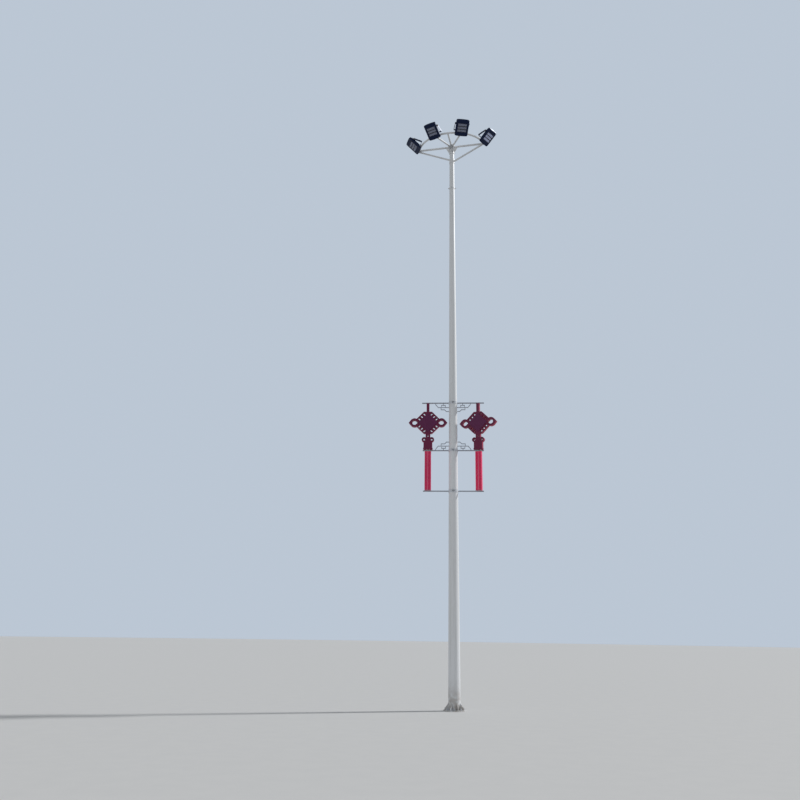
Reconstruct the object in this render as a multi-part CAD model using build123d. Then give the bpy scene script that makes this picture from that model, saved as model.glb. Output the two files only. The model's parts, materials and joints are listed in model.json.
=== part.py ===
from build123d import *
import math
import os

os.makedirs("parts", exist_ok=True)

# Driving dimensions, in mm and degrees.
HUB_Z = 14000           # height of the head frame's arms above the flange face
MAST_BASE_D = 271.5     # mast diameter at the ground
MAST_TAPER = 10.95      # loss of diameter in each metre of height
MAST_STOP = 40          # the mast ends this far below the arms' centre lines
MAST_WALL = 5
SEAT = 0.3              # gap between a band and the cone that it is drawn up on

FLANGE_D = 480
FLANGE_T = 22
FLANGE_PCD = 400
FLANGE_HOLES = 8
FLANGE_HOLE_D = 30
CABLE_HOLE_D = 80
CABLE_HOLE_Y = 62
RIB_H = 130
RIB_T = 12
RIB_TOE = 24            # height of a rib's outer end
RIB_INSET = 14          # the rib's toe stops this far inside the flange's rim

DOOR_Z = 620            # lower end of the access opening, on the side away from the photograph
DOOR_H = 420
DOOR_W = 110
DOOR_LAP = 16
DOOR_T = 4

HEAD_TURN = -9          # the head frame is turned this far on the mast
SLEEVE_WALL = 6
SLEEVE_BELOW = 210      # the sleeve's ends below and above the arms' centre lines
SLEEVE_ABOVE = 34
RIM_H = 16
RIM_T = 4
CAP_LAP = 7.5           # the cap stands out past the sleeve
CAP_H = 36
CAP_ROUND = 26
ARM_R = 25
RING_STEP = 1           # the ring is this much thinner than the side arms, and the inner arms again
ARM_WALL = 3
ARM_OVER = 15           # the side arms run on past the lamp ring's ends
ARC_HALF = 875          # half the chord of the lamp ring
ARC_RISE = 645          # how far the ring bows out from the hub
INNER_ARMS = (-30, 0, 30)
GUSSET_L = 84
GUSSET_DROP = 172
GUSSET_LIP = 14
GUSSET_T = 8
BRACE_R = 22
BRACE_WALL = 3
BRACE_OUTS = {-1: 961, 1: 846}      # where the line of each brace meets the arms, from the mast's axis
BRACE_DROPS = {-1: 405, 1: 462}     # the braces' feet below the arms
BRACE_BAND_LAP = 33
BRACE_BAND_T = 7
LUG_DROP = 1230         # the lug band below the arms
LUG_BAND_H = 34
LUG_BAND_T = 6
LUG_L = 28
LUG_T = 10
LUG_HOLE_D = 13

LAMP_ANGLES = (-63.5, -20.5, 20.5, 63.5)    # where the lamps stand on the ring
STRAP_OUT = 7           # the yoke's cross strap, outward from and above the ring's centre line
STRAP_UP = 74
YOKE_RISE = 13          # the yoke's legs rise outward at this angle
YOKE_LEG = 222          # from the tilt axis back to the yoke's cross strap
YOKE_T = 6
YOKE_W = 44
YOKE_ROOM = 8.5         # between the lamp's side and a leg
YOKE_BOLTS = 52         # spacing of the two bolt holes in the cross strap
PLATE_W = 84
PLATE_T = 8
LAMP_DOWN = 50          # the face looks this far below level
LAMP_W = 337
LAMP_TOP = 124          # face edges above and below the tilt axis
LAMP_LOW = 302
LAMP_FRONT = 70         # face in front of the tilt axis
LAMP_BACK = 20          # back of the tray in front of the tilt axis
LAMP_DRAFT = 4
LAMP_CORNER = 38
LAMP_BEVEL = 12
LAMP_BOW = 9            # rise of the curved top and bottom edges
FINS = 13
FIN_PITCH = 23
FIN_T = 5
FIN_BACK = 16
FIN_TOP_INSET = 32      # the fins stop short of the tray's upper and lower edges
FIN_LOW_INSET = 80
BOSS_R = 24
WINDOW_W = 236
WINDOW_H = 212
WINDOW_DEEP = 9
ROW_H = 58
ROW_EDGE = 3
DRIVER_W = 176
DRIVER_TOP = 62
DRIVER_LOW = -78
DRIVER_BACK = 46
STUD_R = 8
STUD_GAP = 0.1

KNOT_X = 600            # ornament's centre line from the mast's axis
KNOT_Z = 6452
KNOT_T = 90
KNOT_HALF = 365
KNOT_SIDE = 285
KNOT_TOP = 268
KNOT_CORNER = 26
PAD_INSET = 132
PAD_RISE = 8
LOOP_X = 322
LOOP_R = 106
LOOP_TIP = 138
LOOP_HOLE = 56
LOOP_HOLE_TIP = 80
SLOT_L = 58             # a slot at the middle of the panel, where it is narrowest
SLOT_W = 27
SLOT_FLARE = 9
SLOT_ROW = 291
SLOT_STEP = 84
STEM_W = 66
NECK_W = 112
EAR_X = 90
EAR_Z = -415
EAR_R = 58
EAR_HOLE = 24
BLOCK_W = 208
BLOCK_TOP = -448
TASSEL_W = 153
TASSEL_T = 84
FLUTES = 5
BAR = 25
UPPER_BAR_RISE = 490    # the bars above and below the knots' centres
MIDDLE_BAR_DROP = 678
LOWER_BAR_DROP = 1648
UPPER_BAR_END = 135     # the bars run on past the ornament's centre line
MIDDLE_BAR_END = 116
LOWER_BAR_END = 104
TURNS = {-1: 0, 1: -20}              # how far each ornament is turned on its bars
FRET_W = 15
FRET_T = 20
BAND_H = 64
BAND_T = 6
BAND_SLIT = 6
BAND_EAR = 30
BAND_BOLT_D = 12

# The fret of a bracket: distance from the mast's axis, height above the bar.
FRET = (
    ((428, 0), (408, 46), (354, 109), (60, 109)),
    ((287, 109), (287, 164), (204, 164), (160, 207), (60, 207)),
    ((276, 82), (276, 56), (184, 56), (184, 109)),
    ((232, 0), (232, 56)),
)


def mast_radius(z):
    return (MAST_BASE_D - MAST_TAPER * z / 1000) / 2


# Sizes that follow from the ones above.
MAST_TOP_Z = HUB_Z - MAST_STOP
SLEEVE_LOW = HUB_Z - SLEEVE_BELOW
SLEEVE_TOP = HUB_Z + SLEEVE_ABOVE
BORE_R = mast_radius(SLEEVE_LOW) + SEAT
SLEEVE_R = BORE_R + SLEEVE_WALL
ARM_END = ARC_HALF + ARM_OVER
RING_R = ARM_R - RING_STEP
INNER_R = RING_R - RING_STEP
BRACE_BAND_LOW = HUB_Z - max(BRACE_DROPS.values()) - BRACE_BAND_LAP
BRACE_BAND_TOP = HUB_Z - min(BRACE_DROPS.values()) + BRACE_BAND_LAP
BRACE_BAND_R = mast_radius(BRACE_BAND_LOW) + SEAT + BRACE_BAND_T
LUG_BAND_Z = HUB_Z - LUG_DROP
PIVOT_OUT = STRAP_OUT + YOKE_LEG * math.cos(math.radians(YOKE_RISE))
PIVOT_UP = STRAP_UP + YOKE_LEG * math.sin(math.radians(YOKE_RISE))
YOKE_IN = LAMP_W / 2 + YOKE_ROOM
LAMP_MIDDLE = (LAMP_TOP - LAMP_LOW) / 2
UPPER_BAR_Z = KNOT_Z + UPPER_BAR_RISE
MIDDLE_BAR_Z = KNOT_Z - MIDDLE_BAR_DROP
LOWER_BAR_Z = KNOT_Z - LOWER_BAR_DROP
ARC_R = (ARC_HALF**2 + ARC_RISE**2) / (2 * ARC_RISE)
ARC_Y = ARC_R - ARC_RISE
ARC_ANGLE = math.degrees(math.asin(ARC_HALF / ARC_R))


def save(shape, name):
    shape.label = name
    export_step(shape, "parts/" + name + ".step")


def upright(radius, low, top):
    """A solid cylinder on the mast's axis between two heights."""
    return Pos(0, 0, low) * Cylinder(radius, top - low, align=(Align.CENTER, Align.CENTER, Align.MIN))


def cone_band(low, top, inside, outside):
    """A band that follows the mast's taper; inside and outside are offsets from its surface."""
    low_r = mast_radius(low)
    top_r = mast_radius(top)
    points = [
        (low_r + inside, low),
        (low_r + outside, low),
        (top_r + outside, top),
        (top_r + inside, top),
    ]
    return revolve(Plane.XZ * Polygon(*points, align=None), Axis.Z)


def mast_core(low, top, offset=0):
    """The mast as a solid cone, for trimming what stands against it."""
    points = [(0, low), (mast_radius(low) + offset, low), (mast_radius(top) + offset, top), (0, top)]
    return revolve(Plane.XZ * Polygon(*points, align=None), Axis.Z)


def rod(start, end, radius):
    way = Vector(*end) - Vector(*start)
    align = (Align.CENTER, Align.CENTER, Align.MIN)
    return Plane(origin=start, z_dir=way) * Cylinder(radius, way.length, align=align)


def on_head(shape):
    return Rot(0, 0, HEAD_TURN) * shape


# Mast and foot

def base_flange():
    plate = upright(FLANGE_D / 2, 0, FLANGE_T)
    plate = chamfer(plate.edges().group_by(Axis.Z)[-1], 3)
    toe = FLANGE_D / 2 - RIB_INSET
    heel = mast_radius(FLANGE_T + RIB_H) - 2 * MAST_WALL
    top = FLANGE_T + RIB_H
    rib = Polygon((heel, FLANGE_T - 1), (toe, FLANGE_T - 1), (toe, FLANGE_T + RIB_TOE),
                  (mast_radius(top) + RIB_T, top), (heel, top), align=None)
    for i in range(FLANGE_HOLES):
        turn = Rot(0, 0, (i + 0.5) * 360 / FLANGE_HOLES)
        plate += turn * extrude(Plane.XZ * rib, RIB_T / 2, both=True)
    plate -= mast_core(FLANGE_T, top + RIB_T)
    for i in range(FLANGE_HOLES):
        turn = Rot(0, 0, i * 360 / FLANGE_HOLES)
        plate -= turn * (Pos(FLANGE_PCD / 2, 0, 0) * Cylinder(FLANGE_HOLE_D / 2, 3 * FLANGE_T))
    plate -= Pos(0, CABLE_HOLE_Y, 0) * Cylinder(CABLE_HOLE_D / 2, 3 * FLANGE_T)
    return plate


def door_slot(grow):
    """A round-ended block that cuts the access opening or its cover from a shell."""
    face = SlotOverall(DOOR_H + 2 * grow, DOOR_W + 2 * grow, rotation=90)
    return Pos(0, 0, DOOR_Z + DOOR_H / 2) * extrude(Plane.XZ * face, -MAST_BASE_D)


def mast():
    shell = cone_band(FLANGE_T, MAST_TOP_Z, -MAST_WALL, 0)
    return shell - door_slot(0)


def access_door():
    margin = 2 * DOOR_LAP
    shell = cone_band(DOOR_Z - margin, DOOR_Z + DOOR_H + margin, SEAT, SEAT + DOOR_T)
    return shell & door_slot(DOOR_LAP)


def strap(low, height, thickness):
    """A rolled flat band, seated on the mast at its lower edge."""
    bore = mast_radius(low) + SEAT
    return upright(bore + thickness, low, low + height) - upright(bore, low - 1, low + height + 1)


def split_band(z, height, thickness):
    """A band clamped round the mast, split at the front between two bolt ears."""
    low = z - height / 2
    bore = mast_radius(low) + SEAT
    outside = bore + thickness
    band = strap(low, height, thickness)
    ear = Pos(0, -outside - BAND_EAR / 2, z) * Box(BAND_SLIT + 2 * thickness, BAND_EAR + thickness, height - 8)
    band += ear - upright(bore + thickness / 4, low, low + height)
    band -= Pos(0, -outside, z) * Box(BAND_SLIT, 3 * BAND_EAR, 2 * height)
    bolt = Pos(0, -outside - BAND_EAR / 2, z) * Rot(0, 90, 0) * Cylinder(BAND_BOLT_D / 2, 8 * thickness)
    return band - bolt


def lug_collar():
    low = LUG_BAND_Z - LUG_BAND_H / 2
    band = strap(low, LUG_BAND_H, LUG_BAND_T)
    reach = mast_radius(low) + SEAT + LUG_BAND_T
    lug = Pos(reach + LUG_L / 2, 0, LUG_BAND_Z) * Box(LUG_L + LUG_BAND_T, LUG_T, LUG_BAND_H - 6)
    lug = fillet(lug.edges().filter_by(Axis.Y).group_by(Axis.X)[-1], 9)
    lug -= Pos(reach + LUG_L * 0.6, 0, LUG_BAND_Z) * Rot(90, 0, 0) * Cylinder(LUG_HOLE_D / 2, 4 * LUG_T)
    lug -= upright(reach - 2, low, low + LUG_BAND_H)
    for turn in (0, 90, 180, 270):
        band += Rot(0, 0, turn) * lug
    return band


# Head frame

def gusset(arm_radius):
    under = HUB_Z - arm_radius
    foot = HUB_Z - GUSSET_DROP
    tip = SLEEVE_R + GUSSET_L
    face = Polygon((SLEEVE_R - 2, under), (tip, under), (tip, under - GUSSET_LIP),
                   (SLEEVE_R + SLEEVE_WALL, foot), (SLEEVE_R - 2, foot), align=None)
    plate = extrude(Plane.XZ * face, GUSSET_T / 2, both=True)
    return plate - rod((0, 0, HUB_Z), (2 * tip, 0, HUB_Z), arm_radius)


def head_hub():
    tube = upright(SLEEVE_R, SLEEVE_LOW, SLEEVE_TOP)
    for turn in (0, 180):
        tube += Rot(0, 0, turn) * gusset(ARM_R)
    for turn in INNER_ARMS:
        tube += Rot(0, 0, turn - 90) * gusset(INNER_R)
    tube += upright(SLEEVE_R + RIM_T, SLEEVE_LOW, SLEEVE_LOW + RIM_H)
    return on_head(tube - upright(BORE_R, SLEEVE_LOW - 1, SLEEVE_TOP + 1))


def head_cap():
    cap = upright(SLEEVE_R + CAP_LAP, SLEEVE_TOP, SLEEVE_TOP + CAP_H)
    return on_head(fillet(cap.edges().group_by(Axis.Z)[-1], CAP_ROUND))


def ring_axis():
    return Axis((0, ARC_Y, HUB_Z), (0, 0, 1))


def ring_tube(radius):
    face = Plane(origin=(0, ARC_Y - ARC_R, HUB_Z), x_dir=(0, 1, 0), z_dir=(1, 0, 0)) * Circle(radius)
    return revolve(face.rotate(ring_axis(), -ARC_ANGLE), ring_axis(), revolution_arc=2 * ARC_ANGLE)


def lamp_place(angle):
    """Frame of one lamp on the ring: x along the tube, -y outward, z up."""
    x = ARC_R * math.sin(math.radians(angle))
    y = ARC_Y - ARC_R * math.cos(math.radians(angle))
    return Pos(x, y, HUB_Z) * Rot(0, 0, angle)


def pivot_place(angle):
    return lamp_place(angle) * Pos(0, -PIVOT_OUT, PIVOT_UP)


def yoke_place(angle):
    """Frame on a lamp's tilt axis, turned so that the yoke's legs run back along +y."""
    return pivot_place(angle) * Rot(-YOKE_RISE, 0, 0)


def mount_plate():
    """The plate on the ring that a yoke's cross strap is bolted to, in the yoke's frame."""
    low = -STRAP_UP - 2 * ARM_R
    plate = Pos(0, YOKE_LEG + PLATE_T / 2, 0) * Box(PLATE_W, PLATE_T, YOKE_W / 2 - low + 1,
                                                   align=(Align.CENTER, Align.CENTER, Align.MIN))
    plate = Pos(0, 0, low) * plate
    return chamfer(plate.edges().filter_by(Axis.Y).group_by(Axis.Z)[-1], 14)


def lower_half():
    size = 4 * ARC_R
    return Pos(0, 0, HUB_Z) * Box(size, size, size, align=(Align.CENTER, Align.CENTER, Align.MAX))


def side_arm_core():
    return rod((-ARM_END, 0, HUB_Z), (ARM_END, 0, HUB_Z), ARM_R)


def lamp_ring():
    tube = ring_tube(RING_R)
    for angle in LAMP_ANGLES:
        tube += yoke_place(angle) * mount_plate() - lower_half()
    tube -= ring_tube(RING_R - ARM_WALL)
    tube -= side_arm_core()
    return on_head(tube)


def side_arm(side):
    tube = rod((0, 0, HUB_Z), (side * ARM_END, 0, HUB_Z), ARM_R)
    tube -= rod((0, 0, HUB_Z), (side * (ARM_END - ARM_WALL), 0, HUB_Z), ARM_R - ARM_WALL)
    return on_head(tube - upright(SLEEVE_R, SLEEVE_LOW, SLEEVE_TOP))


def inner_arm(turn):
    angle = math.radians(turn)
    reach = 2 * ARC_RISE
    start = (0, 0, HUB_Z)
    end = (reach * math.sin(angle), -reach * math.cos(angle), HUB_Z)
    tube = rod(start, end, INNER_R) - rod(start, end, INNER_R - ARM_WALL)
    tube &= Pos(0, ARC_Y, HUB_Z) * Cylinder(ARC_R, 4 * ARM_R)
    tube -= upright(SLEEVE_R, SLEEVE_LOW, SLEEVE_TOP)
    if turn:
        tube -= rod(start, (0, -reach, HUB_Z), INNER_R)
    return on_head(tube - ring_tube(RING_R))


def brace_band():
    return strap(BRACE_BAND_LOW, BRACE_BAND_TOP - BRACE_BAND_LOW, BRACE_BAND_T)


def within(reach, shape):
    """The part of a shape that lies no further out than reach, and below the arms' centre lines."""
    size = 4 * ARC_R
    align = (Align.CENTER, Align.CENTER, Align.MAX)
    return shape & (Pos(0, 0, HUB_Z) * Box(2 * reach, size, size, align=align))


def brace(side):
    """A slanting tube under an arm, trimmed flush with the arm's end and closed there."""
    start = (side * BRACE_OUTS[side], 0, HUB_Z)
    end = (0, 0, HUB_Z - BRACE_DROPS[side])
    tube = within(ARM_END, rod(start, end, BRACE_R))
    tube -= within(ARM_END - BRACE_WALL, rod(start, end, BRACE_R - BRACE_WALL))
    tube -= side_arm_core()
    tube -= ring_tube(RING_R)
    return on_head(tube - upright(BRACE_BAND_R, SLEEVE_LOW - HUB_Z / 2, SLEEVE_LOW))


# Floodlights

def yoke(angle):
    """A strap bent to a U, with rounded leg ends bored for the lamp's studs."""
    width = YOKE_IN + YOKE_T
    legs = Rectangle(YOKE_LEG, YOKE_W, align=(Align.MIN, Align.CENTER)) + Circle(YOKE_W / 2)
    solid = extrude(Plane.YZ * legs, width, both=True)
    solid -= Pos(0, YOKE_LEG - YOKE_T, 0) * Box(2 * YOKE_IN, 2 * YOKE_LEG, 2 * YOKE_W,
                                              align=(Align.CENTER, Align.MAX, Align.CENTER))
    solid = fillet(solid.edges().filter_by(Axis.Z).group_by(Axis.Y)[-1], YOKE_T + 4)
    solid -= Rot(0, 90, 0) * Cylinder(STUD_R + STUD_GAP, 3 * width)
    for x in (-YOKE_BOLTS / 2, YOKE_BOLTS / 2):
        solid -= Pos(x, YOKE_LEG, 0) * Rot(90, 0, 0) * Cylinder(7, 4 * YOKE_T)
    return on_head(yoke_place(angle) * solid)


def lamp_outline(grow=0):
    """The floodlight's outline seen along its beam, with bowed ends."""
    half = LAMP_W / 2 + grow
    top = LAMP_TOP + grow
    low = -LAMP_LOW - grow
    left = Line((-half, low + LAMP_BOW), (-half, top - LAMP_BOW))
    upper = ThreePointArc((-half, top - LAMP_BOW), (0, top), (half, top - LAMP_BOW))
    right = Line((half, top - LAMP_BOW), (half, low + LAMP_BOW))
    lower = ThreePointArc((half, low + LAMP_BOW), (0, low), (-half, low + LAMP_BOW))
    face = make_face(left + upper + right + lower)
    return fillet(face.vertices(), LAMP_CORNER + grow)


def fin_profile():
    """Side view of one cooling fin: y towards the back, z along the lamp."""
    top = LAMP_TOP - FIN_TOP_INSET
    low = FIN_LOW_INSET - LAMP_LOW
    back = FIN_BACK + LAMP_BACK
    root = -LAMP_BACK - 4
    return Polygon((root, low + 8), (-LAMP_BACK, low), (FIN_BACK - 6, low + back / 2), (FIN_BACK, low + back),
                   (FIN_BACK, top - back), (-LAMP_BACK, top), (root, top), align=None)


def lamp_housing():
    """Die-cast tray in the lamp's own frame: the beam looks along -y, the tilt axis is x."""
    depth = LAMP_FRONT - LAMP_BACK
    draft = depth * math.tan(math.radians(LAMP_DRAFT))
    tray = extrude(Plane.XZ * lamp_outline(-draft), depth, taper=-LAMP_DRAFT)
    tray = chamfer(tray.edges().group_by(Axis.Y)[0], LAMP_BEVEL)
    tray = Pos(0, -LAMP_BACK, 0) * tray
    front = Pos(0, -LAMP_FRONT, LAMP_MIDDLE)
    tray -= front * Rot(90, 0, 0) * extrude(Rectangle(WINDOW_W, WINDOW_H), WINDOW_DEEP, both=True)
    for i in range(FINS):
        x = (i - (FINS - 1) / 2) * FIN_PITCH
        tray += Pos(x, 0, 0) * extrude(Plane.YZ * fin_profile(), FIN_T / 2, both=True)
    end = YOKE_IN - SEAT
    root = end - 2 * BOSS_R
    for side in (-1, 1):
        boss = rod((side * root, 0, 0), (side * end, 0, 0), BOSS_R)
        web = Box(end - root, LAMP_BACK + 4, 2 * BOSS_R - 8, align=(Align.MIN, Align.MAX, Align.CENTER))
        if side < 0:
            web = mirror(web, Plane.YZ)
        tray += boss + Pos(side * root, 0, 0) * web
        tray += rod((side * root, 0, 0), (side * (YOKE_IN + YOKE_T + STUD_R), 0, 0), STUD_R)
    return tray - driver_core(0.2)


def driver_core(grow=0):
    height = DRIVER_TOP - DRIVER_LOW
    middle = (DRIVER_TOP + DRIVER_LOW) / 2
    face = Rectangle(DRIVER_W + 2 * grow, height + 2 * grow)
    return Pos(0, DRIVER_BACK, middle) * Rot(90, 0, 0) * extrude(face, DRIVER_BACK + LAMP_BACK)


def driver_box():
    box = driver_core()
    box = chamfer(box.edges().filter_by(Axis.Y), 10)
    return chamfer(box.edges().group_by(Axis.Y)[-1], 5)


def led_panel():
    front = Pos(0, -LAMP_FRONT + WINDOW_DEEP, LAMP_MIDDLE) * Rot(90, 0, 0)
    plate = extrude(Rectangle(WINDOW_W - 1, WINDOW_H - 1), 4)
    pitch = (WINDOW_H - ROW_H) / 2 - ROW_EDGE
    for row in (-1, 0, 1):
        plate += Pos(0, row * pitch, 4) * extrude(Rectangle(WINDOW_W - 4 * ROW_EDGE, ROW_H), 3)
    return front * plate


def lamp_frame(angle):
    return pivot_place(angle) * Rot(LAMP_DOWN, 0, 0)


# Ornament

def teardrop(radius, tip):
    """A round with two tangents that meet at a point on the +x side."""
    reach = math.acos(radius / tip)
    x = radius * math.cos(reach)
    y = radius * math.sin(reach)
    return Circle(radius) + Polygon((0, 0), (x, -y), (tip, 0), (x, y), align=None)


def knot_sketch():
    """The panel seen from the front: a square on its corner, loops, stem, ears and a foot block."""
    square = KNOT_HALF * math.sqrt(2)
    face = Rot(0, 0, 45) * Rectangle(square, square)
    face &= Rectangle(2 * KNOT_SIDE, 2 * KNOT_TOP)
    face = fillet(face.vertices(), KNOT_CORNER)
    holes = []
    for turn in (0, 180):
        place = Rot(0, 0, turn) * Pos(LOOP_X, 0)
        face += place * teardrop(LOOP_R, LOOP_TIP)
        holes.append(place * Rot(0, 0, 180) * teardrop(LOOP_HOLE, LOOP_HOLE_TIP))
    top = UPPER_BAR_Z - BAR / 2 - KNOT_Z
    stem = Rectangle(STEM_W, top - KNOT_TOP + 20, align=(Align.CENTER, Align.MIN))
    face += Pos(0, KNOT_TOP - 20) * stem
    neck = Rectangle(NECK_W, 40 - KNOT_TOP - BLOCK_TOP, align=(Align.CENTER, Align.MAX))
    face += Pos(0, 20 - KNOT_TOP) * neck
    bottom = MIDDLE_BAR_Z + BAR / 2 - KNOT_Z
    half = BLOCK_W / 2
    outline = [(0, BLOCK_TOP), (half, BLOCK_TOP), (half, bottom + 60), (half + 12, bottom + 30),
               (half + 4, bottom + 12), (half - 30, bottom), (30, bottom + 18), (0, bottom)]
    face += Polygon(*outline, *[(-x, y) for x, y in outline[-2:0:-1]], align=None)
    for x in (-EAR_X, EAR_X):
        face += Pos(x, EAR_Z) * Circle(EAR_R)
        holes.append(Pos(x, EAR_Z) * Circle(EAR_HOLE))
    holes.append(Pos(0, -KNOT_TOP - 60) * Circle(18))
    for hole in holes:
        face -= hole
    return face


def knot_slots():
    """Three slots along each edge of the square, which open towards the front and the back."""
    slots = Sketch()
    for quarter in range(4):
        for step in (-1, 0, 1):
            slot = Pos(SLOT_ROW / math.sqrt(2), step * SLOT_STEP) * SlotOverall(SLOT_L, SLOT_W)
            slots += Rot(0, 0, 45 + 90 * quarter) * slot
    half = extrude(Plane.XZ * slots, KNOT_T, taper=-SLOT_FLARE)
    return half + mirror(half, Plane.XZ)


def knot(side):
    body = extrude(Plane.XZ * knot_sketch(), KNOT_T / 2, both=True)
    square = (KNOT_HALF - PAD_INSET) * math.sqrt(2)
    pad = Plane.XZ * (Rot(0, 0, 45) * RectangleRounded(square, square, 16))
    body += extrude(pad, KNOT_T / 2 + PAD_RISE, both=True)
    return Pos(side * KNOT_X, 0, KNOT_Z) * Rot(0, 0, TURNS[side]) * (body - knot_slots())


def tassel(side):
    low = LOWER_BAR_Z + BAR / 2
    top = MIDDLE_BAR_Z - BAR / 2
    pitch = TASSEL_W / FLUTES
    section = Rectangle(TASSEL_W - 8, TASSEL_T - 30)
    for i in range(FLUTES):
        x = (i - (FLUTES - 1) / 2) * pitch
        section += Pos(x, 0) * SlotOverall(TASSEL_T, pitch - 1, rotation=90)
    return Pos(side * KNOT_X, 0, low) * Rot(0, 0, TURNS[side]) * extrude(section, top - low)


def bracket(z, reach, fret_way):
    """A square bar with the fret that fills its corner at the mast; fret_way is 1 above, -1 below, 0 none."""
    start = mast_radius(z) / 2
    face = Pos(start, 0) * Rectangle(reach - start, BAR, align=(Align.MIN, Align.CENTER))
    bar = extrude(Plane.XZ * face, BAR / 2, both=True)
    if fret_way:
        fret = Sketch()
        for line in FRET:
            for first, last in zip(line[:-1], line[1:]):
                a = Vector(first[0], fret_way * first[1])
                b = Vector(last[0], fret_way * last[1])
                slope = math.degrees(math.atan2(b.Y - a.Y, b.X - a.X))
                piece = Rot(0, 0, slope) * Rectangle((b - a).length + FRET_W, FRET_W)
                fret += Pos((a.X + b.X) / 2, (a.Y + b.Y) / 2) * piece
        bar += extrude(Plane.XZ * fret, FRET_T / 2, both=True)
    bar = Pos(0, 0, z) * bar
    low = z - BAND_H / 2
    bar -= upright(mast_radius(low) + SEAT + BAND_T, low, low + BAND_H)
    return bar - mast_core(z - reach, z + reach, SEAT)


def bracket_pair(z, end, fret_way, name):
    right = bracket(z, KNOT_X + end, fret_way)
    save(right, name + "_right")
    save(mirror(right, Plane.YZ), name + "_left")


save(base_flange(), "base_flange")
save(mast(), "mast")
save(access_door(), "access_door")
save(lug_collar(), "lug_collar")
save(head_hub(), "head_hub")
save(head_cap(), "head_cap")
save(side_arm(-1), "side_arm_left")
save(side_arm(1), "side_arm_right")
for turn, name in zip(INNER_ARMS, ("left", "middle", "right")):
    save(inner_arm(turn), "inner_arm_" + name)
save(lamp_ring(), "lamp_ring")
save(on_head(brace_band()), "brace_band")
save(brace(-1), "brace_left")
save(brace(1), "brace_right")

housing = lamp_housing()
driver = driver_box()
leds = led_panel()
for number, angle in enumerate(LAMP_ANGLES, 1):
    where = Rot(0, 0, HEAD_TURN) * lamp_frame(angle)
    save(yoke(angle), f"lamp_{number}_yoke")
    save(where * housing, f"lamp_{number}_housing")
    save(where * driver, f"lamp_{number}_driver_box")
    save(where * leds, f"lamp_{number}_led_panel")

save(split_band(UPPER_BAR_Z, BAND_H, BAND_T), "upper_band")
save(split_band(MIDDLE_BAR_Z, BAND_H, BAND_T), "middle_band")
save(split_band(LOWER_BAR_Z, BAND_H, BAND_T), "lower_band")
bracket_pair(UPPER_BAR_Z, UPPER_BAR_END, -1, "upper_bracket")
bracket_pair(MIDDLE_BAR_Z, MIDDLE_BAR_END, 1, "middle_bracket")
bracket_pair(LOWER_BAR_Z, LOWER_BAR_END, 0, "lower_bar")
for side, name in ((-1, "left"), (1, "right")):
    save(knot(side), "knot_" + name)
    save(tassel(side), "tassel_" + name)
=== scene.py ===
# %% [markdown]
# # Dressing a high mast floodlight tower
# The CAD model gives every tube, bracket and lamp body of this tower its true size and place. This lesson
# dresses it: paint that has stood outdoors for years, black powder coat, red plastic ornaments, and the
# small hardware that a fitter adds on site. We start by loading the frame. Everything in it is in metres,
# with the centre of the foot flange at the origin and the mast standing along Z.

# %% Load the frame
import json
import math
import bpy
import bmesh
from mathutils import Matrix, Vector


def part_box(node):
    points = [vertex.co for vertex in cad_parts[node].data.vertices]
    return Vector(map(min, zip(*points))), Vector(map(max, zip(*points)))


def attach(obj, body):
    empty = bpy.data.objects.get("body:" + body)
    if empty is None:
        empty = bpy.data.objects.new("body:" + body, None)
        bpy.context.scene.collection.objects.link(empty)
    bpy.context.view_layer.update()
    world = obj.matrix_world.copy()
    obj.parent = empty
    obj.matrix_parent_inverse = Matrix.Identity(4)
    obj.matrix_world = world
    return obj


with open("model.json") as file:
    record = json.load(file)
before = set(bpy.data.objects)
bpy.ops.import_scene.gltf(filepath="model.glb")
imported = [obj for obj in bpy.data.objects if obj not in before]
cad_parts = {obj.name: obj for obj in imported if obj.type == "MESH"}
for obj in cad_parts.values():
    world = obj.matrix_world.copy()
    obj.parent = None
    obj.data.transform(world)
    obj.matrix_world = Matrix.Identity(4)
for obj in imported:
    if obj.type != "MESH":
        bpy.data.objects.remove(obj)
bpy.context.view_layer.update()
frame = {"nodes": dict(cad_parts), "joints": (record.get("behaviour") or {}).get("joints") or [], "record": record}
nodes = frame["nodes"]

# %% [markdown]
# ## The camera
# The photographer stood about 18.7 m from the mast, with the camera at eye height, tipped up by sixteen
# degrees. A camera's own axes are X to the right, Y up and Z backwards, so we write them as the three
# columns of a matrix instead of guessing at rotation angles. A lens of 36 mm on Blender's 36 mm sensor
# gives the photograph's field of view.

# %% Camera
EYE = Vector((0, -18.69, 1.604))
PITCH = math.radians(16.15)
YAW = math.radians(-3.92)
ROLL = math.radians(0.82)
LENS = 36.23
FAR_CLIP = 500


def add(name, data):
    """A new object, linked to the scene."""
    made = bpy.data.objects.new(name, data)
    bpy.context.scene.collection.objects.link(made)
    return made


forward = Vector((math.sin(YAW) * math.cos(PITCH), math.cos(YAW) * math.cos(PITCH), math.sin(PITCH)))
level = Vector((math.cos(YAW), -math.sin(YAW), 0))
above = level.cross(forward)
right = level * math.cos(ROLL) + above * math.sin(ROLL)
up = above * math.cos(ROLL) - level * math.sin(ROLL)
camera_data = bpy.data.cameras.new("camera")
camera_data.lens = LENS
camera_data.clip_end = FAR_CLIP
camera = add("camera", camera_data)
camera.matrix_world = Matrix.Translation(EYE) @ Matrix((right, up, -forward)).transposed().to_4x4()
bpy.context.scene.camera = camera
bpy.context.scene.view_settings.view_transform = "Standard"
print("camera", -EYE.y, "m in front of the mast and", EYE.z, "m up")

# %% [markdown]
# ## Light
# A tower outdoors is lit by the whole sky and by the sun. We keep that idea and make it soft: an even
# world light, a key from the right and a little behind, and a weak fill from the front left. The key
# leaves a bright band down one side of the mast, and it stands so far back that the ornaments' shadows
# fall in front of that band. Sun lamps light a tall object evenly from foot to head.

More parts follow.
